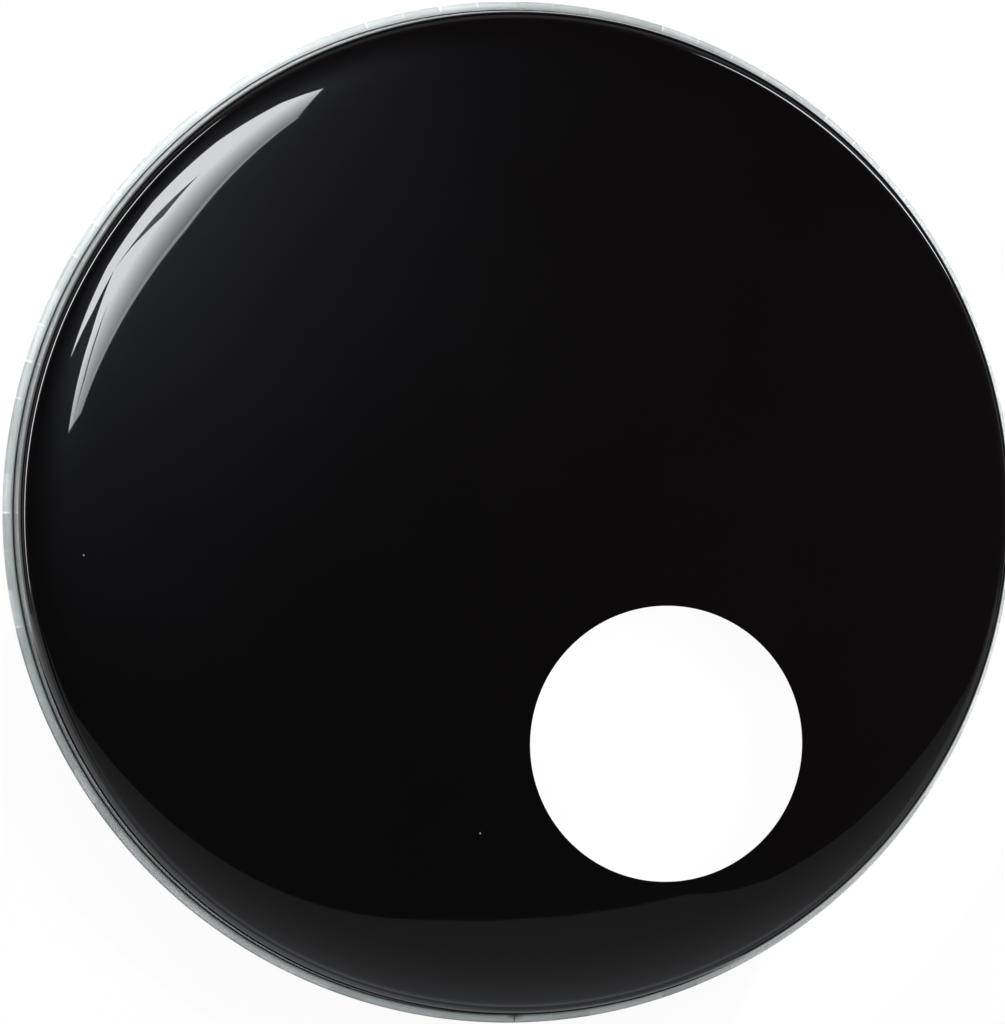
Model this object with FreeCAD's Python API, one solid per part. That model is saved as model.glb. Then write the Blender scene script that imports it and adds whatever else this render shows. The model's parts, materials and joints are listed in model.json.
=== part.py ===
import FreeCAD, Part
import collections
import math
import os

# A ported bass drum front head for an 18 in shell, all sizes in millimetres and degrees.
# The head lies on its hoop: the origin is the centre of the hoop's rest face, +Z points out of the
# film's front, +Y to 12 o'clock and +X to 3 o'clock as someone in front of the drum sees it.
# Every cross-section is drawn in the XZ plane and turned about the drum's axis, Z.

# Shell that the head goes over
SHELL_DIAMETER = 457.2
SHELL_CLEARANCE = 1.6

# Film: a flat middle, the crown, the shoulder and the collar, then the skirt inside the hoop.
# The flat ends a crown's width in from the shell's outside.
FILM_THICKNESS = 0.25
CROWN_WIDTH = 21.1
CROWN_EDGE_SLOPE = 8.5
SHOULDER_RADIUS = 6.5
COLLAR_SLOPE = 85.5
COLLAR_LENGTH = 12.8
COLLAR_FOOT_RADIUS = 3.0
COLLAR_FOOT_RISE = 0.4
HEM_LENGTH = 1.0

# Port: a plain round hole punched through the flat of the film, a margin in from the shell's outside
PORT_DIAMETER = 127.0
PORT_MARGIN = 39.4
PORT_ANGLE = -57.6

# Hoop: a strip rolled to a channel, its outer wall crimped in over the wire to a lip beside the film.
# The film pulls the wire up against the crimp, so there is room under it at the channel's base.
HOOP_WALL = 0.9
BASE_BEND_RADIUS = 0.7
BASE_ROOM = 2.0
CRIMP_LEAN = 65.0
LIP_BEND_RADIUS = 0.6
LIP_HEIGHT = 1.0
INNER_WALL_DROP = 0.3
HOOP_SEAM_GAP = 0.4
HOOP_SEAM_ANGLE = -90.0

# Wire: an open ring that the film's edge is folded round
WIRE_DIAMETER = 2.4
WIRE_SEAM_GAP = 1.0
WIRE_SEAM_ANGLE = 90.0

# Room between the film and what holds it
FIT_GAP = 0.25

# Below this length a straight run between two bends is left out
SHORTEST_RUN = 1e-6

ORIGIN = FreeCAD.Vector(0, 0, 0)
AXIS = FreeCAD.Vector(0, 0, 1)

# An arc of a bent sheet's cross-section, from its first to its last angle round its centre
Bend = collections.namedtuple("Bend", "centre radius first last")


def point(radius, height):
    """A point of a cross-section."""
    return FreeCAD.Vector(radius, 0, height)


def polar(centre, radius, angle):
    """The point of a cross-section at an angle from outward, towards up, round a centre."""
    turn = math.radians(angle)
    return centre + point(radius * math.cos(turn), radius * math.sin(turn))


def bend_point(bend, angle):
    return polar(bend.centre, bend.radius, angle)


def left_of(start, end, depth):
    """The step to the left of the way from start to end."""
    way = (end - start).normalize()
    return point(-way.z, way.x) * depth


def straight_run(start, end):
    return [Part.makeLine(start, end)] if start.distanceToPoint(end) > SHORTEST_RUN else []


def sheet_face(start, bends, end, depth):
    """The edges of one face of a bent sheet, depth to the left of its path."""
    here = start + left_of(start, bend_point(bends[0], bends[0].first), depth)
    stop = end + left_of(bend_point(bends[-1], bends[-1].last), end, depth)
    edges = []
    for bend in bends:
        bend = bend._replace(radius=bend.radius - math.copysign(depth, bend.last - bend.first))
        angles = bend.first, (bend.first + bend.last) / 2, bend.last
        first, middle, last = [bend_point(bend, angle) for angle in angles]
        edges += straight_run(here, first)
        edges.append(Part.Arc(first, middle, last).toShape())
        here = last
    return edges + straight_run(here, stop)


def bent_sheet(start, bends, end, thickness):
    """The cross-section of a sheet to the left of a path of bends joined by straight runs."""
    near = Part.Wire(sheet_face(start, bends, end, 0))
    far = Part.Wire(sheet_face(start, bends, end, thickness))
    near_ends = near.OrderedVertexes
    far_ends = far.OrderedVertexes
    start_cut = Part.makeLine(near_ends[0].Point, far_ends[0].Point)
    end_cut = Part.makeLine(near_ends[-1].Point, far_ends[-1].Point)
    outline = Part.__sortEdges__(near.Edges + far.Edges + [start_cut, end_cut])
    return Part.Face(Part.Wire(outline))


def open_ring(section, seam_gap, seam_angle, seam_radius):
    """A cross-section turned about the drum's axis, with its two ends facing each other at a seam."""
    gap_angle = math.degrees(seam_gap / seam_radius)
    start = section.copy()
    start.rotate(ORIGIN, AXIS, seam_angle + gap_angle / 2)
    return start.revolve(ORIGIN, AXIS, 360 - gap_angle)


# In from the shell's outside: the flat's edge and the port's centre
shell_radius = SHELL_DIAMETER / 2
flat_radius = shell_radius - CROWN_WIDTH
port_offset = shell_radius - PORT_MARGIN - PORT_DIAMETER / 2

# Round the wire from inside out: the film's back face, then the pocket's face
wire_radius = WIRE_DIAMETER / 2
fold_radius = wire_radius + FIT_GAP + FILM_THICKNESS
pocket_radius = fold_radius + FIT_GAP

# Across the hoop from the drum's axis outward
bore_radius = shell_radius + SHELL_CLEARANCE
inner_wall_face = bore_radius + HOOP_WALL
skirt_back = inner_wall_face + FIT_GAP
lip_face = skirt_back + FILM_THICKNESS + FIT_GAP
outer_wall_face = inner_wall_face + 2 * pocket_radius
hoop_radius = outer_wall_face + HOOP_WALL
wire_centre = point(inner_wall_face + pocket_radius, HOOP_WALL + BASE_ROOM + pocket_radius)

# Up the hoop: the crimped wall leaves the wire, runs in to the lip's bend and turns up
crimp_start = polar(wire_centre, pocket_radius, CRIMP_LEAN)
lip_bend_radius = LIP_BEND_RADIUS + HOOP_WALL
crimp_end_radius = lip_face + lip_bend_radius * (1 - math.cos(math.radians(CRIMP_LEAN)))
crimp_rise = (crimp_start.x - crimp_end_radius) / math.tan(math.radians(CRIMP_LEAN))
lip_bend_height = crimp_start.z + crimp_rise + lip_bend_radius * math.sin(math.radians(CRIMP_LEAN))
lip_top = lip_bend_height + LIP_HEIGHT
inner_wall_top = lip_top - INNER_WALL_DROP


def hoop_channel():
    """From the lip down the crimp, round the wire, along the base and up the inner wall."""
    lip_bend_centre = point(lip_face + lip_bend_radius, lip_bend_height)
    corner_height = HOOP_WALL + BASE_BEND_RADIUS
    outer_corner = point(outer_wall_face - BASE_BEND_RADIUS, corner_height)
    inner_corner = point(inner_wall_face + BASE_BEND_RADIUS, corner_height)
    bends = [
        Bend(lip_bend_centre, lip_bend_radius, 180, 180 + CRIMP_LEAN),
        Bend(wire_centre, pocket_radius, CRIMP_LEAN, 0),
        Bend(outer_corner, BASE_BEND_RADIUS, 360, 270),
        Bend(inner_corner, BASE_BEND_RADIUS, 270, 180),
    ]
    start = point(lip_face, lip_top)
    end = point(inner_wall_face, inner_wall_top)
    section = bent_sheet(start, bends, end, HOOP_WALL)
    return open_ring(section, HOOP_SEAM_GAP, HOOP_SEAM_ANGLE, hoop_radius)


def core_wire():
    """A round wire bent to a ring, its ends at the other side of the drum from the hoop's seam."""
    circle = Part.Circle(wire_centre, FreeCAD.Vector(0, 1, 0), wire_radius)
    section = Part.Face(Part.Wire(circle.toShape()))
    return open_ring(section, WIRE_SEAM_GAP, WIRE_SEAM_ANGLE, wire_centre.x)


def film_section():
    """From the middle out over crown, shoulder and collar, down the skirt and round the wire."""
    collar_normal = 90 - COLLAR_SLOPE
    crown_normal = 90 - CROWN_EDGE_SLOPE
    foot_centre = point(skirt_back - COLLAR_FOOT_RADIUS, lip_top + COLLAR_FOOT_RISE)
    collar_foot = polar(foot_centre, COLLAR_FOOT_RADIUS, collar_normal)
    collar_top = polar(collar_foot, COLLAR_LENGTH, 90 + collar_normal)
    shoulder_centre = polar(collar_top, -SHOULDER_RADIUS, collar_normal)
    crown_edge = polar(shoulder_centre, SHOULDER_RADIUS, crown_normal)
    crown_radius = (crown_edge.x - flat_radius) / math.cos(math.radians(crown_normal))
    crown_centre = polar(crown_edge, -crown_radius, crown_normal)
    bends = [
        Bend(crown_centre, crown_radius, 90, crown_normal),
        Bend(shoulder_centre, SHOULDER_RADIUS, crown_normal, collar_normal),
        Bend(foot_centre, COLLAR_FOOT_RADIUS, collar_normal, 0),
        Bend(wire_centre, fold_radius, -180, CRIMP_LEAN),
    ]
    middle = point(0, crown_centre.z + crown_radius)
    hem_end = polar(bend_point(bends[-1], CRIMP_LEAN), HEM_LENGTH, 90 + CRIMP_LEAN)
    return bent_sheet(middle, bends, hem_end, FILM_THICKNESS)


def drum_film():
    """The moulded film with its port punched out."""
    film = film_section().revolve(ORIGIN, AXIS, 360)
    port_turn = math.radians(PORT_ANGLE)
    port_centre = FreeCAD.Vector(math.cos(port_turn), math.sin(port_turn), 0) * port_offset
    punch = Part.makeCylinder(PORT_DIAMETER / 2, 2 * film.BoundBox.ZMax, port_centre, AXIS)
    return film.cut(punch).Solids[0]


os.makedirs("parts", exist_ok=True)
for make in (drum_film, hoop_channel, core_wire):
    make().exportStep(os.path.join("parts", make.__name__ + ".step"))
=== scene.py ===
import collections
import json
import math

import bpy
from mathutils import Matrix, Vector, noise


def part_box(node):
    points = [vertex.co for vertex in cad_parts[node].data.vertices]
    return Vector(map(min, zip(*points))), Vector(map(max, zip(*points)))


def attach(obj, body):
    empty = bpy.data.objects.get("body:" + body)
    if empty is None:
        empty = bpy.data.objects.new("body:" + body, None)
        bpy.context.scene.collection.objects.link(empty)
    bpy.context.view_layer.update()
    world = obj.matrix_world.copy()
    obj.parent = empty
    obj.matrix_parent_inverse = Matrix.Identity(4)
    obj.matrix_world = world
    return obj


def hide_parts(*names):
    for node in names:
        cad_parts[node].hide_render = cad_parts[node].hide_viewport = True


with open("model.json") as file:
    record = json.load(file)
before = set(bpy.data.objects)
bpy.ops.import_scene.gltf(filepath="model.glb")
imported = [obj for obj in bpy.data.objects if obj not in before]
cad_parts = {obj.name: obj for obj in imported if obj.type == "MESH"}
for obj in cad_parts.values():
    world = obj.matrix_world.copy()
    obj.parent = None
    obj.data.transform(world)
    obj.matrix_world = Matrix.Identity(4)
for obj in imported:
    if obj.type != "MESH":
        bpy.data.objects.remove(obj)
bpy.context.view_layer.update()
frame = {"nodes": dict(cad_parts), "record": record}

# Looks of a ported bass drum front head that lies on its hoop, all lengths in metres and angles in
# degrees. +Z points out of the film's front and +Y to 12 o'clock.

# Film: a flat middle, a crown that starts gently, the shoulder and the collar, then the skirt in the hoop.
# The flat takes in the crown's first millimetres, which hardly fall.
FILM_THICKNESS = 0.00025
FLAT_RADIUS = 0.195
CROWN_START_RADIUS = 0.186
CROWN_POWER = 4.87
CROWN_EDGE_SLOPE = 8.5
SHOULDER_RADIUS = 0.0065
COLLAR_SLOPE = 85.5
COLLAR_LENGTH = 0.0128
COLLAR_FOOT_RADIUS = 0.003
COLLAR_FOOT_RISE = 0.0004
HEM_LENGTH = 0.001

# Film's unevenness: a slow wave over the flat that dies out towards the shoulder
FILM_WAVE_HEIGHT = 0.000008
FILM_WAVE_LENGTH = 0.12
FILM_WAVE_END = 0.223

# Hoop: a strip rolled to a channel, its outer wall crimped in over the wire to a lip beside the film
HOOP_WALL = 0.0009
BASE_BEND_RADIUS = 0.0007
CRIMP_LEAN = 65.0
LIP_BEND_RADIUS = 0.0006
LIP_HEIGHT = 0.001
INNER_WALL_DROP = 0.0003
HOOP_SEAM_GAP = 0.0004
HOOP_SEAM_ANGLE = -90.0
EDGE_ROUNDING = 0.00015
FIT_GAP = 0.00025

# Crimp marks: each jaw leaves a flat on the bent-in wall, and a ridge rises between two jaws
JAWS = 84
JAW_FLAT_DEPTH = 0.00005
JAW_TILT = 0.00004
RIDGE_HEIGHT = 0.00005
RIDGE_WIDTH = 0.0006
MARK_FADE_LEAN = 40.0

# Steps from jaw to jaw through a field of noise and the row that they follow, for the jaws' tilt and lift
JAW_TILT_NOISE = (3.7, 0.5)
JAW_LIFT_NOISE = (2.3, 7.5)
JAW_NOISE_LAYER = 0.5

# Noise patterns of the finishes as their scale and detail, and the range that most of a noise lies in
SMUDGES = (14.0, 5.0)
STREAKS = (1.0, 6.0)
HOOP_PATCHES = (22.0, 4.0)
HOOP_GRAIN = (1800.0, 2.0)
WIRE_PATCHES = (60.0, 5.0)
WIRE_GRAIN = (2500.0, 2.0)
NOISE_ROUGHNESS = 0.6
NOISE_RANGE = (0.3, 0.7)

# Film's finish: a sharp gloss over a bluish haze, and specks of dust in a few cells of a pattern
FILM_COLOURS = (0.0006, 0.0003, 0.0003, 1), (0.0008, 0.0005, 0.0005, 1)
FILM_INDEX = 1.5
GLOSS_ROUGHNESS = 0.015
HAZE_ROUGHNESS = (0.19, 0.23)
HAZE_LEVEL = 0.07
HAZE_TINT = (0.72, 0.8, 1.0, 1)
DUST_CELL_SCALE = 55.0
DUST_FREE_SHARE = 0.92
DUST_EDGE = (0.014, 0.026)
DUST_TONE = 0.25

# Hoop's finish: tone between two colours from streaks and the jaw, and painted light on the side away from
# the seam.
# Places run from 0 at the seam to 0.5 opposite it, and along a jaw from 0 to 1; a reach is a length.
HOOP_COLOURS = (0.28, 0.3, 0.29, 1), (0.94, 0.95, 0.95, 1)
HOOP_METALLIC = 0.55
HOOP_ROUGHNESS = (0.54, 0.66)
HOOP_PATCH_RANGE = (0.35, 0.7)
STREAK_STRETCH = (60.0, 2600.0, 1.0)
STREAK_TONE = 0.3
JAW_TONE = 0.25
# Painted light: the hoop's colour is made lighter on its side away from the seam, where more light falls
UPPER_PAINTED_LIGHT = 0.2
UPPER_PAINTED_LIGHT_PLACES = (0.25, 0.42)
# Painted highlight: a near-white glint painted on each jaw's end, only on the hoop's side away from the seam
JAW_GLINT_ALONG = (0.93, 0.97)
JAW_GLINT_SHARE = 0.9
JAW_GLINT_TONE = 0.98
JAW_GLINT_PLACES = (0.16, 0.3)
# Painted shade: the hoop's colour darkens towards the lip, in the groove beside the film
LIP_SHADE_REACH = (0.0018, 0.0042)
LIP_SHADE_COLOUR = (0.36, 0.38, 0.37, 1)
SEAM_DIRT_PLACES = (0.0006, 0.003)
SEAM_DIRT_SHARE = 0.9
SEAM_DIRT_TONE = 0.1
HOOP_GRAIN_SHARE = 0.2
HOOP_BUMP = 0.03
HOOP_BUMP_DEPTH = 0.00004

# Wire's finish
WIRE_TONES = (0.32, 0.55)
WIRE_ROUGHNESS = (0.32, 0.5)
WIRE_BUMP = 0.2
WIRE_BUMP_DEPTH = 0.00003

# Fineness of the meshes
FILM_COLUMNS = 480
FLAT_RINGS = 20
CROWN_RINGS = 30
SHOULDER_STEPS = 26
FOOT_STEPS = 3
WIRE_BEND_STEPS = 14
SMALL_BEND_STEPS = 6
JAW_STEPS = (-1.0, -0.97, -0.94, -0.9, -0.82, -0.6, -0.3, 0.0, 0.3, 0.6, 0.82, 0.9, 0.94, 0.97)
SHARP_ANGLE = 35.0

# Camera as the photograph has it, in a frame of 1005 by 1024
PHOTO_WIDTH = 1005
FOCAL_PIXELS = 6557.9
SENSOR_WIDTH = 36.0
CAMERA_PLACE = Vector((-0.4586, 0.0414, 3.0))
CAMERA_AIM = Vector((-0.0059, 0.0004, 0.01))

# Softbox over the upper left, outlined in plan, that fades towards the side nearest the part's middle.
# Two dark folds and the bright rim of that side hang just under it.
SOFTBOX_HEIGHT = 1.5
SOFTBOX_OUTLINE = [
    (-0.168, 0.05), (-0.12, 0.058), (-0.014, 0.18), (0.049, 0.29), (0.034, 0.39), (-0.036, 0.428),
    (-0.146, 0.433), (-0.252, 0.381), (-0.31, 0.3), (-0.3, 0.16), (-0.24, 0.2), (-0.222, 0.246),
    (-0.182, 0.15),
]
SOFTBOX_FADE_WAY = Vector((-0.83, 0.56, 0))
SOFTBOX_FADE = (0.115, 0.215)
SOFTBOX_STRENGTHS = (2.8, 16.0)
DETAIL_HEIGHT = 1.49
WIDE_FOLD = [
    (-0.082, 0.3), (-0.152, 0.284), (-0.184, 0.266), (-0.222, 0.246), (-0.184, 0.254), (-0.106, 0.252),
]
THIN_FOLD = [
    (-0.15, 0.172), (-0.146, 0.13), (-0.143, 0.09), (-0.15, 0.053), (-0.137, 0.09), (-0.139, 0.13),
]
FOLD_STRENGTH = 1.0
SOFTBOX_RIM = [
    (-0.12, 0.058), (-0.014, 0.18), (0.049, 0.29), (0.044, 0.292), (-0.019, 0.184), (-0.125, 0.062),
]
RIM_STRENGTH = 6.0

# Dim card over the lower part, brighter away from the part
CARD_HEIGHT = 1.2
CARD_OUTLINE = [
    (-0.9, -0.275), (0.06, -0.2745), (0.16, -0.2766), (0.212, -0.274), (0.25, -0.269), (0.29, -0.261),
    (0.32, -0.264), (0.355, -0.269), (0.45, -0.2685), (2.5, -0.2), (2.5, -2.2), (-0.2, -2.2), (-0.9, -0.8),
]
CARD_FADE_WAY = Vector((0, -1, 0))
CARD_FADE = (0.274, 1.3)
CARD_STRENGTHS = (0.22, 1.3)

# Colour of the lights, slightly cool
LIGHT_COLOUR = (0.95, 0.97, 1.0, 1)

# Lights round the part: the ways to them as azimuth and elevation, and half their height as an angle
LEFT_STRIP_WAYS = [(192, 20.5), (155, 24), (119, 37.5)]
LEFT_STRIP_HALF = 4.0
LEFT_STRIP_STRENGTH = 25.0
RIGHT_STRIP_WAYS = [(60, 38), (40, 21), (23, 0)]
RIGHT_STRIP_HALF = 5.5
RIGHT_STRIP_STRENGTH = 26.0
TOP_PANEL_WAYS = [(126, 13), (55, 13)]
TOP_PANEL_HALF = 14.0
TOP_PANEL_STRENGTH = 0.35
LOW_CARD_WAYS = [(-167, 9), (-85, 9)]
LOW_CARD_HALF = 10.0
LOW_CARD_STRENGTH = 1.15
WALL_WAYS = [(-172, 24), (-8, 24)]
WALL_HALF = 25.0
WALL_STRENGTH = 0.6
LIGHT_DISTANCE = 2.0
WALL_DISTANCE = 2.3
WAY_STEP = 3.0

# Fill lights close over the hoop at its upper left and right, given in the same way. Nothing mirrors them.
LEFT_FILL_WAYS = [(145, 38), (103, 38)]
LEFT_FILL_STRENGTH = 23.0
RIGHT_FILL_WAYS = [(45, 38), (-35, 38)]
RIGHT_FILL_STRENGTH = 16.0
FILL_HALF = 9.0
FILL_DISTANCE = 0.37

# Room by the height of the way to it, as a sine: pale up to an edge, dim above it and dimmer overhead
ROOM_EDGE = (0.075, 0.09)
ROOM_PALE = 0.95
ROOM_DIM = 0.12
ROOM_FALL = (0.2, 0.9)
ROOM_FALL_DEPTH = 0.08

# Floor, and on it two dark bands that only the part mirrors, each from one azimuth to another and from
# the radius it keeps to the radius it reaches: a mat round the upper side, the shade by the lower rim
FLOOR_SIZE = 40.0
FLOOR_COLOUR = 0.85
FLOOR_WHITENESS = 0.95
MAT_PLACE = Vector((-0.02, -0.025, 0.0005))
MAT_TURNS = (-70, 203)
MAT_RADII = (1.7, 0.285)
SHADE_PLACE = Vector((0, 0, 0.0005))
SHADE_TURNS = (188, 305)
SHADE_RADII = (0.22, 0.272)
BAND_RAMP_STEPS = 5
BAND_COLOUR = 0.02

# An arc of a bent sheet's section, drawn in steps, and a ring of the film's mesh
Bend = collections.namedtuple("Bend", "centre radius first last steps")
Row = collections.namedtuple("Row", "middle radius height")


def mount(name):
    """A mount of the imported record."""
    return next(m for m in frame["record"]["mounts"] if m["name"] == name)


# Places that the frame gives
hoop_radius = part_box("hoop_channel")[1].x
lip_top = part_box("hoop_channel")[1].z
wire_low, wire_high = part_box("core_wire")
bore_radius = mount("shell_bore")["dims"]["r_mm"] / 1000
port_radius = mount("port_hole")["dims"]["r_mm"] / 1000
port_centre = Vector(mount("port_hole")["pos_m"][:2])

# Across the hoop from the drum's axis outward
inner_wall_face = bore_radius + HOOP_WALL
outer_wall_face = hoop_radius - HOOP_WALL
pocket_radius = (outer_wall_face - inner_wall_face) / 2
fold_radius = pocket_radius - FIT_GAP
skirt_back = inner_wall_face + FIT_GAP
lip_face = skirt_back + FILM_THICKNESS + FIT_GAP
wire_centre = Vector((inner_wall_face + pocket_radius, (wire_low.z + wire_high.z) / 2))


def clamped(value):
    return min(1.0, max(0.0, value))


def polar(centre, radius, angle):
    """The point of a cross-section at an angle from outward, towards up, round a centre."""
    turn = math.radians(angle)
    return centre + Vector((math.cos(turn), math.sin(turn))) * radius


def left_of(start, end, depth):
    """The step to the left of the way from start to end."""
    way = (end - start).normalized()
    return Vector((-way.y, way.x)) * depth


def sheet_face(start, bends, end, depth):
    """Points of one face of a bent sheet, depth to the left of a path of bends and straight runs."""
    first = polar(bends[0].centre, bends[0].radius, bends[0].first)
    last = polar(bends[-1].centre, bends[-1].radius, bends[-1].last)
    points = [start + left_of(start, first, depth)]
    for bend in bends:
        sweep = bend.last - bend.first
        radius = bend.radius - math.copysign(depth, sweep)
        for step in range(bend.steps + 1):
            points.append(polar(bend.centre, radius, bend.first + sweep * step / bend.steps))
    points.append(end + left_of(last, end, depth))
    return points


def rim_path():
    """The film's back from the crown's edge to its hem, as the start, bends and end of a sheet."""
    collar_normal = 90 - COLLAR_SLOPE
    crown_normal = 90 - CROWN_EDGE_SLOPE
    foot_centre = Vector((skirt_back - COLLAR_FOOT_RADIUS, lip_top + COLLAR_FOOT_RISE))
    collar_foot = polar(foot_centre, COLLAR_FOOT_RADIUS, collar_normal)
    collar_top = polar(collar_foot, COLLAR_LENGTH, 90 + collar_normal)
    shoulder_centre = polar(collar_top, -SHOULDER_RADIUS, collar_normal)
    crown_edge = polar(shoulder_centre, SHOULDER_RADIUS, crown_normal)
    bends = [
        Bend(shoulder_centre, SHOULDER_RADIUS, crown_normal, collar_normal, SHOULDER_STEPS),
        Bend(foot_centre, COLLAR_FOOT_RADIUS, collar_normal, 0, FOOT_STEPS),
        Bend(wire_centre, fold_radius, -180, CRIMP_LEAN, WIRE_BEND_STEPS),
    ]
    crown_side = polar(crown_edge, SHOULDER_RADIUS, 90 + crown_normal)
    hem_end = polar(polar(wire_centre, fold_radius, CRIMP_LEAN), HEM_LENGTH, 90 + CRIMP_LEAN)
    return crown_side, bends, hem_end


def film_face(depth):
    """Rings of one face of the film as if it had no crown, from the port's edge out."""
    rim = sheet_face(*rim_path(), depth)[1:]
    edge = rim[0]
    axis = Vector((0, 0))
    rings = []
    for step in range(FLAT_RINGS):
        share = step / FLAT_RINGS
        radius = port_radius + (FLAT_RADIUS - port_radius) * share
        rings.append(Row(port_centre * (1 - share), radius, edge.y))
    for step in range(CROWN_RINGS):
        radius = FLAT_RADIUS + (edge.x - FLAT_RADIUS) * step / CROWN_RINGS
        rings.append(Row(axis, radius, edge.y))
    return rings + [Row(axis, point.x, point.y) for point in rim]


crown_edge_radius = sheet_face(*rim_path(), 0)[1].x


def crown_rise(place):
    """How far the film stands above its crown's edge at a place in plan."""
    width = crown_edge_radius - CROWN_START_RADIUS
    share = clamped((place.length - CROWN_START_RADIUS) / width)
    rise = width * math.tan(math.radians(CROWN_EDGE_SLOPE)) / CROWN_POWER
    return rise * (1 - share ** CROWN_POWER)


def film_wave(place):
    """How far the film stands off its true form at a place on it."""
    fade = clamped((FILM_WAVE_END - place.length) / (FILM_WAVE_END - FLAT_RADIUS))
    return FILM_WAVE_HEIGHT * fade * noise.noise((place / FILM_WAVE_LENGTH).to_3d())


def film_point(row, turn):
    place = row.middle + Vector((math.cos(turn), math.sin(turn))) * row.radius
    return place.x, place.y, row.height + crown_rise(place) + film_wave(place)


def lengths_along(points):
    """The length along a closed section up to each of its points, and all the way round."""
    lengths = [0]
    for number in range(len(points)):
        following = points[(number + 1) % len(points)]
        lengths.append(lengths[-1] + (following - points[number]).length)
    return lengths


def swept_faces(columns, turn_shares, lengths):
    """Faces and their corners' UVs over columns of points, each column a closed section."""
    count = len(columns[0])
    faces = []
    uvs = []
    for column in range(len(turn_shares) - 1):
        base = column * count
        beside = (column + 1) % len(columns) * count
        near, far = turn_shares[column], turn_shares[column + 1]
        for number in range(count):
            following = (number + 1) % count
            faces.append((base + number, base + following, beside + following, beside + number))
            low, high = lengths[number], lengths[number + 1]
            uvs += [(near, low), (near, high), (far, high), (far, low)]
    return faces, uvs


def new_piece(name, columns, faces, uvs, material, node):
    """A smooth mesh piece that rides on the part and stands for a CAD node."""
    mesh = bpy.data.meshes.new(name)
    mesh.from_pydata([point for column in columns for point in column], [], faces)
    layer = mesh.uv_layers.new(name="strip")
    layer.data.foreach_set("uv", [value for corner in uvs for value in corner])
    mesh.polygons.foreach_set("use_smooth", [True] * len(faces))
    mesh.set_sharp_from_angle(angle=math.radians(SHARP_ANGLE))
    mesh.materials.append(material)
    mesh.validate()
    piece = bpy.data.objects.new(name, mesh)
    bpy.context.scene.collection.objects.link(piece)
    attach(piece, "root")
    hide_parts(node)


def film_piece(material):
    """The moulded film with its port, folded round the wire."""
    rows = film_face(FILM_THICKNESS) + film_face(0)[::-1]
    lengths = lengths_along([Vector((row.radius, row.height)) for row in rows])
    shares = [column / FILM_COLUMNS for column in range(FILM_COLUMNS + 1)]
    columns = [[film_point(row, math.tau * share) for row in rows] for share in shares[:-1]]
    faces, uvs = swept_faces(columns, shares, lengths)
    new_piece("film", columns, faces, uvs, material, "drum_film")


def rounded_cut(last, first):
    """The cut edge of a sheet that ends upwards: its two corners taken off, from one face to the other."""
    across = (first - last).normalized() * EDGE_ROUNDING
    down = Vector((0, -EDGE_ROUNDING))
    return [last + down, last + across, first - across, first + down]


def hoop_section():
    """The hoop's closed section: the lip's cut, the outside, the inner wall's cut and the inside."""
    lip_bend_radius = LIP_BEND_RADIUS + HOOP_WALL
    lip_bend_centre = Vector((lip_face + lip_bend_radius, lip_top - LIP_HEIGHT))
    corner_height = HOOP_WALL + BASE_BEND_RADIUS
    outer_corner = Vector((outer_wall_face - BASE_BEND_RADIUS, corner_height))
    inner_corner = Vector((inner_wall_face + BASE_BEND_RADIUS, corner_height))
    bends = [
        Bend(lip_bend_centre, lip_bend_radius, 180, 180 + CRIMP_LEAN, SMALL_BEND_STEPS),
        Bend(wire_centre, pocket_radius, CRIMP_LEAN, 0, WIRE_BEND_STEPS),
        Bend(outer_corner, BASE_BEND_RADIUS, 360, 270, SMALL_BEND_STEPS),
        Bend(inner_corner, BASE_BEND_RADIUS, 270, 180, SMALL_BEND_STEPS),
    ]
    start = Vector((lip_face, lip_top))
    end = Vector((inner_wall_face, lip_top - INNER_WALL_DROP))
    outside = sheet_face(start, bends, end, HOOP_WALL)
    inside = sheet_face(start, bends, end, 0)
    lip_cut = rounded_cut(inside[0], outside[0])
    wall_cut = rounded_cut(outside[-1], inside[-1])
    return lip_cut + outside[1:-1] + wall_cut + inside[-2:0:-1]


def mark_share(point):
    """How much of the crimp marks shows at a point of the hoop's section: all on the bent-in wall."""
    away = point - wire_centre
    if away.length < pocket_radius + HOOP_WALL / 2 or away.y < 0:
        return 0
    lean = math.degrees(math.atan2(away.y, away.x))
    return clamped(lean / MARK_FADE_LEAN) * clamped((lip_top - point.y) / LIP_HEIGHT)


def jaw_noise(jaw, step, row):
    """A number from -1 to 1 that belongs to a jaw."""
    return noise.noise(Vector((jaw * step, row, JAW_NOISE_LAYER)))


def crimp_offset(jaw, across):
    """Height of the crimped wall over its true form, across a jaw from -1 to 1."""
    flat = JAW_FLAT_DEPTH * (across * across - 1 / 3)
    tilt = JAW_TILT * across * jaw_noise(jaw, *JAW_TILT_NOISE)
    lift = JAW_TILT * jaw_noise(jaw, *JAW_LIFT_NOISE)
    from_ridge = (1 - abs(across)) * math.pi * hoop_radius / JAWS
    ridge = RIDGE_HEIGHT * math.exp(-(from_ridge / RIDGE_WIDTH) ** 2)
    return flat + tilt + lift + ridge


def hoop_column(section, turn, offset):
    """The hoop's section at a turn, its crimped wall lifted by an offset."""
    column = []
    for point in section:
        moved = point + (point - wire_centre).normalized() * offset * mark_share(point)
        column.append((moved.x * math.cos(turn), moved.x * math.sin(turn), moved.y))
    return column


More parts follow.
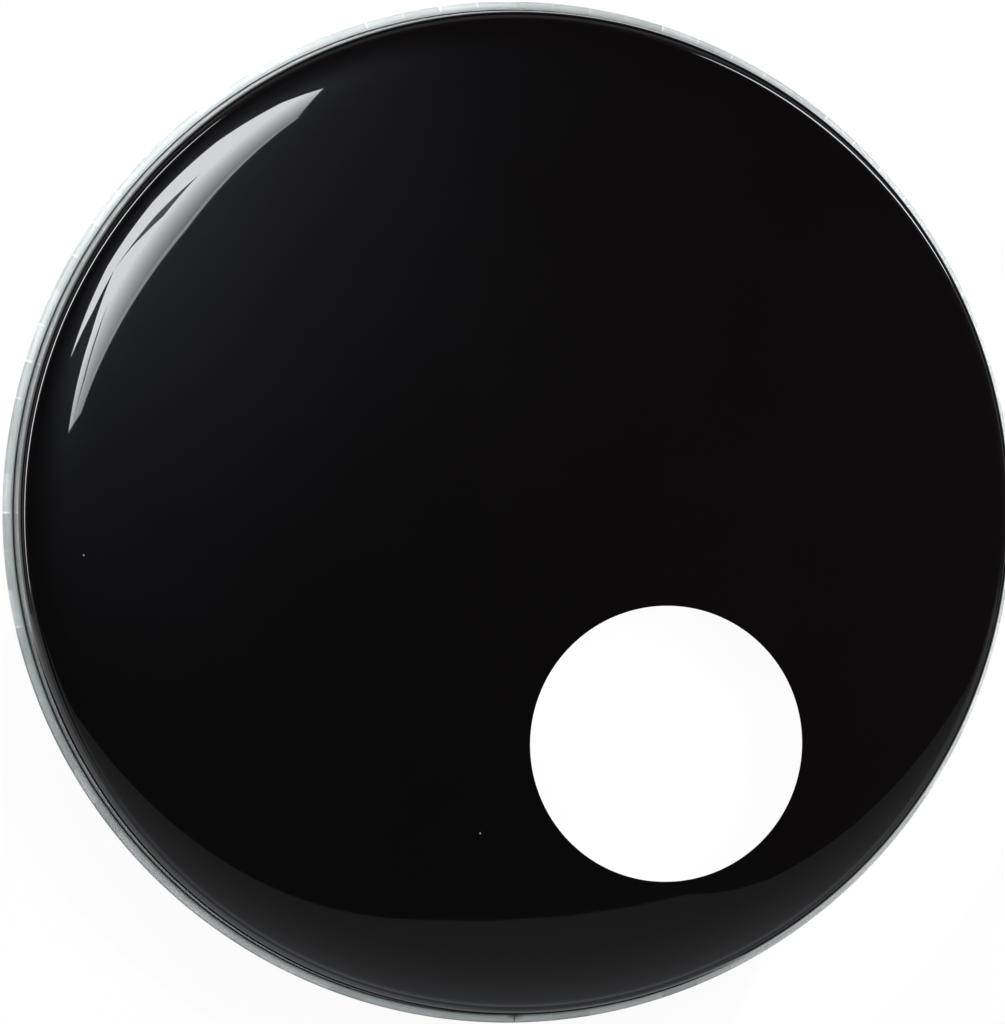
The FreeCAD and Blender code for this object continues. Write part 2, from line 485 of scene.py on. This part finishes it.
def hoop_piece(material):
    """The crimped hoop, an open ring whose two ends face each other at the seam."""
    section = hoop_section()
    gap_angle = HOOP_SEAM_GAP / hoop_radius
    first_turn = math.radians(HOOP_SEAM_ANGLE) + gap_angle / 2
    places = [(jaw, across) for jaw in range(JAWS) for across in JAW_STEPS] + [(JAWS - 1, 1.0)]
    shares = [(jaw + (across + 1) / 2) / JAWS for jaw, across in places]
    turns = [first_turn + (math.tau - gap_angle) * share for share in shares]
    columns = [hoop_column(section, turn, crimp_offset(*place)) for turn, place in zip(turns, places)]
    lengths = lengths_along(section)
    faces, uvs = swept_faces(columns, shares, lengths)
    count = len(section)
    last = (len(columns) - 1) * count
    faces.append(tuple(range(count))[::-1])
    faces.append(tuple(range(last, last + count)))
    uvs += [(0, length) for length in lengths[:-1]][::-1] + [(1, length) for length in lengths[:-1]]
    new_piece("hoop", columns, faces, uvs, material, "hoop_channel")


def add_node(tree, kind, inputs=None, **settings):
    """A shader node with its settings, its inputs set to values or linked to other nodes' outputs."""
    node = tree.nodes.new("ShaderNode" + kind)
    for name, value in settings.items():
        setattr(node, name, value)
    for name, value in (inputs or {}).items():
        if isinstance(value, bpy.types.NodeSocket):
            tree.links.new(value, node.inputs[name])
        else:
            node.inputs[name].default_value = value
    return node


def grey(value):
    return (value, value, value, 1)


def ranged(tree, value, low, high, to_low, to_high):
    """A value moved from one range to another, and kept inside it."""
    inputs = {"Value": value, "From Min": low, "From Max": high, "To Min": to_low, "To Max": to_high}
    return add_node(tree, "MapRange", inputs).outputs["Result"]


def math_node(tree, operation, first, second):
    return add_node(tree, "Math", {0: first, 1: second}, operation=operation).outputs[0]


def noise_node(tree, place, scale, detail):
    inputs = {"Vector": place, "Scale": scale, "Detail": detail, "Roughness": NOISE_ROUGHNESS}
    return add_node(tree, "TexNoise", inputs).outputs["Fac"]


def mixed(tree, share, first, second):
    """A colour between two others."""
    return add_node(tree, "MixRGB", {0: share, 1: first, 2: second}).outputs[0]


def new_material(name):
    """A material with an empty node tree and its output's surface."""
    material = bpy.data.materials.new(name)
    material.use_nodes = True
    material.node_tree.nodes.clear()
    output = add_node(material.node_tree, "OutputMaterial")
    return material, material.node_tree, output.inputs["Surface"]


def film_material():
    """Black polyester film: a clear gloss over a faint blue haze, with smudges and specks of dust."""
    material, tree, surface = new_material("gloss_black_film")
    place = add_node(tree, "TexCoord").outputs["Object"]
    smudge = noise_node(tree, place, *SMUDGES)
    pattern = {"Vector": place, "Scale": DUST_CELL_SCALE}
    cells = add_node(tree, "TexVoronoi", pattern, voronoi_dimensions="2D").outputs
    dusty = math_node(tree, "GREATER_THAN", cells["Color"], DUST_FREE_SHARE)
    speck = ranged(tree, cells["Distance"], *DUST_EDGE, 1.0, 0.0)
    dust = math_node(tree, "MULTIPLY", dusty, speck)
    shader = add_node(tree, "BsdfPrincipled", {
        "Base Color": mixed(tree, dust, mixed(tree, smudge, *FILM_COLOURS), grey(DUST_TONE)),
        "Roughness": ranged(tree, smudge, *NOISE_RANGE, *HAZE_ROUGHNESS),
        "Specular IOR Level": HAZE_LEVEL,
        "Specular Tint": HAZE_TINT,
        "IOR": FILM_INDEX,
        "Coat Weight": 1.0,
        "Coat Roughness": GLOSS_ROUGHNESS,
        "Coat IOR": FILM_INDEX,
    })
    tree.links.new(shader.outputs[0], surface)
    return material


def hoop_colour(tree, strip, streaks):
    """The hoop's colour: streaks, each jaw's tone, a painted highlight on the jaws' ends, painted light on
    the side away from the seam, painted shade by the lip and dirt by the seam.
    """
    along = add_node(tree, "SeparateXYZ", {0: strip}).outputs["X"]
    across = add_node(tree, "SeparateXYZ", {0: strip}).outputs["Y"]
    from_seam = math_node(tree, "PINGPONG", along, 0.5)
    jaws = math_node(tree, "MULTIPLY", along, JAWS)
    jaw = math_node(tree, "FLOOR", jaws, 0.0)
    along_jaw = math_node(tree, "SUBTRACT", jaws, jaw)
    jaw_share = add_node(tree, "TexWhiteNoise", {"W": jaw}, noise_dimensions="1D").outputs["Value"]
    streak_tone = ranged(tree, streaks, *NOISE_RANGE, 0.0, STREAK_TONE)
    # painted light: lighter colour on the side of the hoop away from the seam
    upper_painted_light = ranged(tree, from_seam, *UPPER_PAINTED_LIGHT_PLACES, 0.0, UPPER_PAINTED_LIGHT)
    tone = math_node(tree, "ADD", streak_tone, math_node(tree, "MULTIPLY", jaw_share, JAW_TONE))
    bare_and_painted_light = mixed(tree, math_node(tree, "ADD", tone, upper_painted_light), *HOOP_COLOURS)
    # painted highlight: a glint painted on the end of each jaw, faded in away from the seam
    painted_glint = ranged(tree, along_jaw, *JAW_GLINT_ALONG, 0.0, JAW_GLINT_SHARE)
    painted_glint = math_node(tree, "MULTIPLY", painted_glint, jaw_share)
    painted_glint = math_node(tree, "MULTIPLY", painted_glint, ranged(tree, from_seam, *JAW_GLINT_PLACES, 0.0, 1.0))
    glinted = mixed(tree, painted_glint, bare_and_painted_light, grey(JAW_GLINT_TONE))
    # painted shade: darker colour towards the lip beside the film
    lip_shade = ranged(tree, across, *LIP_SHADE_REACH, 1.0, 0.0)
    lip_shaded = mixed(tree, lip_shade, glinted, LIP_SHADE_COLOUR)
    by_seam = ranged(tree, from_seam, *SEAM_DIRT_PLACES, SEAM_DIRT_SHARE, 0.0)
    by_seam = math_node(tree, "MULTIPLY", by_seam, lip_shade)
    return mixed(tree, by_seam, lip_shaded, grey(SEAM_DIRT_TONE))


def hoop_material():
    """Rolled aluminium with a dull skin: streaks along the strip, patches and a fine grain."""
    material, tree, surface = new_material("rolled_aluminium")
    strip = add_node(tree, "TexCoord").outputs["UV"]
    place = add_node(tree, "TexCoord").outputs["Object"]
    stretched = add_node(tree, "Mapping", {"Vector": strip, "Scale": STREAK_STRETCH}).outputs[0]
    streaks = noise_node(tree, stretched, *STREAKS)
    patches = noise_node(tree, place, *HOOP_PATCHES)
    grain = math_node(tree, "MULTIPLY", noise_node(tree, place, *HOOP_GRAIN), HOOP_GRAIN_SHARE)
    height = math_node(tree, "ADD", streaks, grain)
    bump = add_node(tree, "Bump", {"Height": height, "Strength": HOOP_BUMP, "Distance": HOOP_BUMP_DEPTH})
    shader = add_node(tree, "BsdfPrincipled", {
        "Base Color": hoop_colour(tree, strip, streaks),
        "Metallic": HOOP_METALLIC,
        "Roughness": ranged(tree, patches, *HOOP_PATCH_RANGE, *HOOP_ROUGHNESS),
        "Normal": bump.outputs["Normal"],
    })
    tree.links.new(shader.outputs[0], surface)
    return material


def wire_material():
    """Drawn steel wire: a dull grey with fine grain and darker patches."""
    material, tree, surface = new_material("drawn_steel")
    place = add_node(tree, "TexCoord").outputs["Object"]
    patches = noise_node(tree, place, *WIRE_PATCHES)
    grain = noise_node(tree, place, *WIRE_GRAIN)
    bump = add_node(tree, "Bump", {"Height": grain, "Strength": WIRE_BUMP, "Distance": WIRE_BUMP_DEPTH})
    dark, bright = WIRE_TONES
    shader = add_node(tree, "BsdfPrincipled", {
        "Base Color": mixed(tree, patches, grey(dark), grey(bright)),
        "Metallic": 1.0,
        "Roughness": ranged(tree, patches, *NOISE_RANGE, *WIRE_ROUGHNESS),
        "Normal": bump.outputs["Normal"],
    })
    tree.links.new(shader.outputs[0], surface)
    return material


def floor_material():
    """Pale and matt, near white to whatever sees it, and left out when it is seen from below."""
    material, tree, surface = new_material("pale_floor")
    path = add_node(tree, "LightPath").outputs
    seen = math_node(tree, "MAXIMUM", path["Is Camera Ray"], path["Is Glossy Ray"])
    seen = math_node(tree, "MAXIMUM", seen, path["Is Transmission Ray"])
    share = math_node(tree, "MULTIPLY", seen, FLOOR_WHITENESS)
    matt = add_node(tree, "BsdfDiffuse", {"Color": grey(FLOOR_COLOUR)})
    white = add_node(tree, "Emission", {"Color": grey(1.0), "Strength": 1.0})
    floor = add_node(tree, "MixShader", {0: share, 1: matt.outputs[0], 2: white.outputs[0]})
    below = add_node(tree, "NewGeometry").outputs["Backfacing"]
    clear = add_node(tree, "BsdfTransparent")
    both = add_node(tree, "MixShader", {0: below, 1: floor.outputs[0], 2: clear.outputs[0]})
    tree.links.new(both.outputs[0], surface)
    return material


def matt_material(name, tone):
    """A plain matt surface."""
    material, tree, surface = new_material(name)
    matt = add_node(tree, "BsdfDiffuse", {"Color": grey(tone)})
    tree.links.new(matt.outputs[0], surface)
    return material


def glow_material(name, strength):
    """An even light."""
    material, tree, surface = new_material(name)
    glow = add_node(tree, "Emission", {"Color": LIGHT_COLOUR, "Strength": strength})
    tree.links.new(glow.outputs[0], surface)
    return material


def fading_glow(name, way, places, strengths):
    """A light whose strength changes from one place to another along a way."""
    material = glow_material(name, strengths[0])
    tree = material.node_tree
    place = add_node(tree, "TexCoord").outputs["Object"]
    along = add_node(tree, "VectorMath", {0: place, 1: way}, operation="DOT_PRODUCT").outputs["Value"]
    strength = ranged(tree, along, *places, *strengths)
    tree.links.new(strength, tree.nodes["Emission"].inputs["Strength"])
    return material


def strip_glow(name, strength):
    """A light that is brightest along its middle and fades towards its two edges."""
    material = glow_material(name, strength)
    tree = material.node_tree
    place = add_node(tree, "TexCoord").outputs["UV"]
    across = add_node(tree, "SeparateXYZ", {0: place}).outputs["Y"]
    from_edge = math_node(tree, "PINGPONG", across, 0.5)
    faded = ranged(tree, from_edge, 0.0, 0.5, 0.0, strength)
    tree.links.new(faded, tree.nodes["Emission"].inputs["Strength"])
    return material


def staged(name, vertices, faces, material):
    """A piece of the stage."""
    mesh = bpy.data.meshes.new(name)
    mesh.from_pydata(vertices, [], faces)
    mesh.materials.append(material)
    piece = bpy.data.objects.new(name, mesh)
    bpy.context.scene.collection.objects.link(piece)
    return piece


def unseen(name, vertices, faces, material):
    """A piece of the stage that the camera doesn't see and that casts no shadow."""
    piece = staged(name, vertices, faces, material)
    piece.visible_camera = False
    piece.visible_shadow = False
    return piece


def flat_panel(name, outline, height, material):
    """A level panel of an outline in plan."""
    unseen(name, [(x, y, height) for x, y in outline], [tuple(range(len(outline)))], material)


def towards(azimuth, elevation, distance):
    """The point at a distance from the part in a way from it."""
    turn, rise = math.radians(azimuth), math.radians(elevation)
    level = Vector((math.cos(turn), math.sin(turn), 0)) * math.cos(rise)
    return (level + Vector((0, 0, math.sin(rise)))) * distance


def way_along(ways, share):
    """The azimuth and elevation at a share of the azimuth's sweep through the given ways."""
    azimuth = ways[0][0] + (ways[-1][0] - ways[0][0]) * share
    for (first, low), (last, high) in zip(ways, ways[1:]):
        part = (azimuth - first) / (last - first)
        if part <= 1:
            return azimuth, low + (high - low) * part
    return ways[-1]


def bent_strip(name, vertices, material):
    """A strip of the stage whose vertices come in pairs across it, with UVs that run up across it."""
    faces = [(n, n + 1, n + 3, n + 2) for n in range(0, len(vertices) - 2, 2)]
    piece = unseen(name, vertices, faces, material)
    layer = piece.data.uv_layers.new(name="across")
    corners = [0, 0, 0, 1, 1, 1, 1, 0]
    layer.data.foreach_set("uv", corners * len(faces))
    return piece


def ring_panel(name, ways, half_height, distance, material):
    """A light bent round the part through the given ways, its ends drawn out to points."""
    steps = math.ceil(abs(ways[-1][0] - ways[0][0]) / WAY_STEP)
    vertices = []
    for step in range(steps + 1):
        share = step / steps
        azimuth, elevation = way_along(ways, share)
        half = half_height * math.sqrt(4 * share * (1 - share))
        vertices.append(towards(azimuth, elevation - half, distance))
        vertices.append(towards(azimuth, elevation + half, distance))
    return bent_strip(name, vertices, material)


def rim_fill(name, ways, strength):
    """A light close over the hoop that no glossy surface mirrors."""
    panel = ring_panel(name, ways, FILL_HALF, FILL_DISTANCE, glow_material(name, strength))
    panel.visible_glossy = False


def floor_band(name, place, turns, radii, material):
    """A band on the floor round a place, that reaches its full width soon after its pointed ends."""
    steps = math.ceil((turns[1] - turns[0]) / WAY_STEP)
    vertices = []
    for step in range(steps + 1):
        azimuth = turns[0] + (turns[1] - turns[0]) * step / steps
        reach = radii[0] + (radii[1] - radii[0]) * clamped(min(step, steps - step) / BAND_RAMP_STEPS)
        vertices.append(place + towards(azimuth, 0, radii[0]))
        vertices.append(place + towards(azimuth, 0, reach))
    bent_strip(name, vertices, material)


def floor_pieces():
    """The floor, and the dark bands that the shoulder mirrors."""
    half = FLOOR_SIZE / 2
    corners = [(-half, -half, 0), (half, -half, 0), (half, half, 0), (-half, half, 0)]
    staged("floor", corners, [(0, 1, 2, 3)], floor_material())
    dark = matt_material("dark_floor", BAND_COLOUR)
    floor_band("dark_mat", MAT_PLACE, MAT_TURNS, MAT_RADII, dark)
    floor_band("shade", SHADE_PLACE, SHADE_TURNS, SHADE_RADII, dark)


def lights():
    """The softbox with its folds and rim, the dim card, the lights round the part and the hoop's fills."""
    softbox = fading_glow("softbox", SOFTBOX_FADE_WAY, SOFTBOX_FADE, SOFTBOX_STRENGTHS)
    flat_panel("softbox", SOFTBOX_OUTLINE, SOFTBOX_HEIGHT, softbox)
    fold = glow_material("softbox_fold", FOLD_STRENGTH)
    flat_panel("wide_fold", WIDE_FOLD, DETAIL_HEIGHT, fold)
    flat_panel("thin_fold", THIN_FOLD, DETAIL_HEIGHT, fold)
    flat_panel("softbox_rim", SOFTBOX_RIM, DETAIL_HEIGHT, glow_material("softbox_rim", RIM_STRENGTH))
    card = fading_glow("dim_card", CARD_FADE_WAY, CARD_FADE, CARD_STRENGTHS)
    flat_panel("dim_card", CARD_OUTLINE, CARD_HEIGHT, card)
    left = strip_glow("left_strip", LEFT_STRIP_STRENGTH)
    ring_panel("left_strip", LEFT_STRIP_WAYS, LEFT_STRIP_HALF, LIGHT_DISTANCE, left)
    right = strip_glow("right_strip", RIGHT_STRIP_STRENGTH)
    ring_panel("right_strip", RIGHT_STRIP_WAYS, RIGHT_STRIP_HALF, LIGHT_DISTANCE, right)
    top = glow_material("top_panel", TOP_PANEL_STRENGTH)
    ring_panel("top_panel", TOP_PANEL_WAYS, TOP_PANEL_HALF, LIGHT_DISTANCE, top)
    low = glow_material("low_card", LOW_CARD_STRENGTH)
    ring_panel("low_card", LOW_CARD_WAYS, LOW_CARD_HALF, LIGHT_DISTANCE, low)
    wall = glow_material("dim_wall", WALL_STRENGTH)
    ring_panel("dim_wall", WALL_WAYS, WALL_HALF, WALL_DISTANCE, wall)
    rim_fill("left_fill", LEFT_FILL_WAYS, LEFT_FILL_STRENGTH)
    rim_fill("right_fill", RIGHT_FILL_WAYS, RIGHT_FILL_STRENGTH)


def surroundings():
    """A dim room: pale at the horizon and below it, dark overhead; plain white to the camera."""
    world = bpy.data.worlds.new("room")
    world.use_nodes = True
    tree = world.node_tree
    tree.nodes.clear()
    way = add_node(tree, "TexCoord").outputs["Generated"]
    height = add_node(tree, "SeparateXYZ", {0: way}).outputs["Z"]
    sides = ranged(tree, height, *ROOM_EDGE, ROOM_PALE, ROOM_DIM)
    fall = ranged(tree, height, *ROOM_FALL, 0.0, ROOM_FALL_DEPTH)
    tone = math_node(tree, "SUBTRACT", sides, fall)
    seen = add_node(tree, "LightPath").outputs["Is Camera Ray"]
    background = add_node(tree, "Background", {"Color": mixed(tree, seen, tone, grey(1.0)), "Strength": 1.0})
    output = add_node(tree, "OutputWorld")
    tree.links.new(background.outputs[0], output.inputs["Surface"])
    bpy.context.scene.world = world


def camera():
    """The camera at the photograph's place, with 12 o'clock up."""
    data = bpy.data.cameras.new("camera")
    data.sensor_fit = "HORIZONTAL"
    data.sensor_width = SENSOR_WIDTH
    data.lens = SENSOR_WIDTH * FOCAL_PIXELS / PHOTO_WIDTH
    view = bpy.data.objects.new("camera", data)
    bpy.context.scene.collection.objects.link(view)
    back = (CAMERA_PLACE - CAMERA_AIM).normalized()
    side = Vector((0, 1, 0)).cross(back).normalized()
    turn = Matrix((side, back.cross(side), back)).transposed()
    view.matrix_world = Matrix.Translation(CAMERA_PLACE) @ turn.to_4x4()
    bpy.context.scene.camera = view


def dress_wire(material):
    """The wire keeps its CAD form and gets its finish."""
    wire = frame["nodes"]["core_wire"]
    wire.data.materials.clear()
    wire.data.materials.append(material)


film_piece(film_material())
hoop_piece(hoop_material())
dress_wire(wire_material())
floor_pieces()
lights()
surroundings()
camera()
bpy.context.scene.view_settings.view_transform = "Standard"
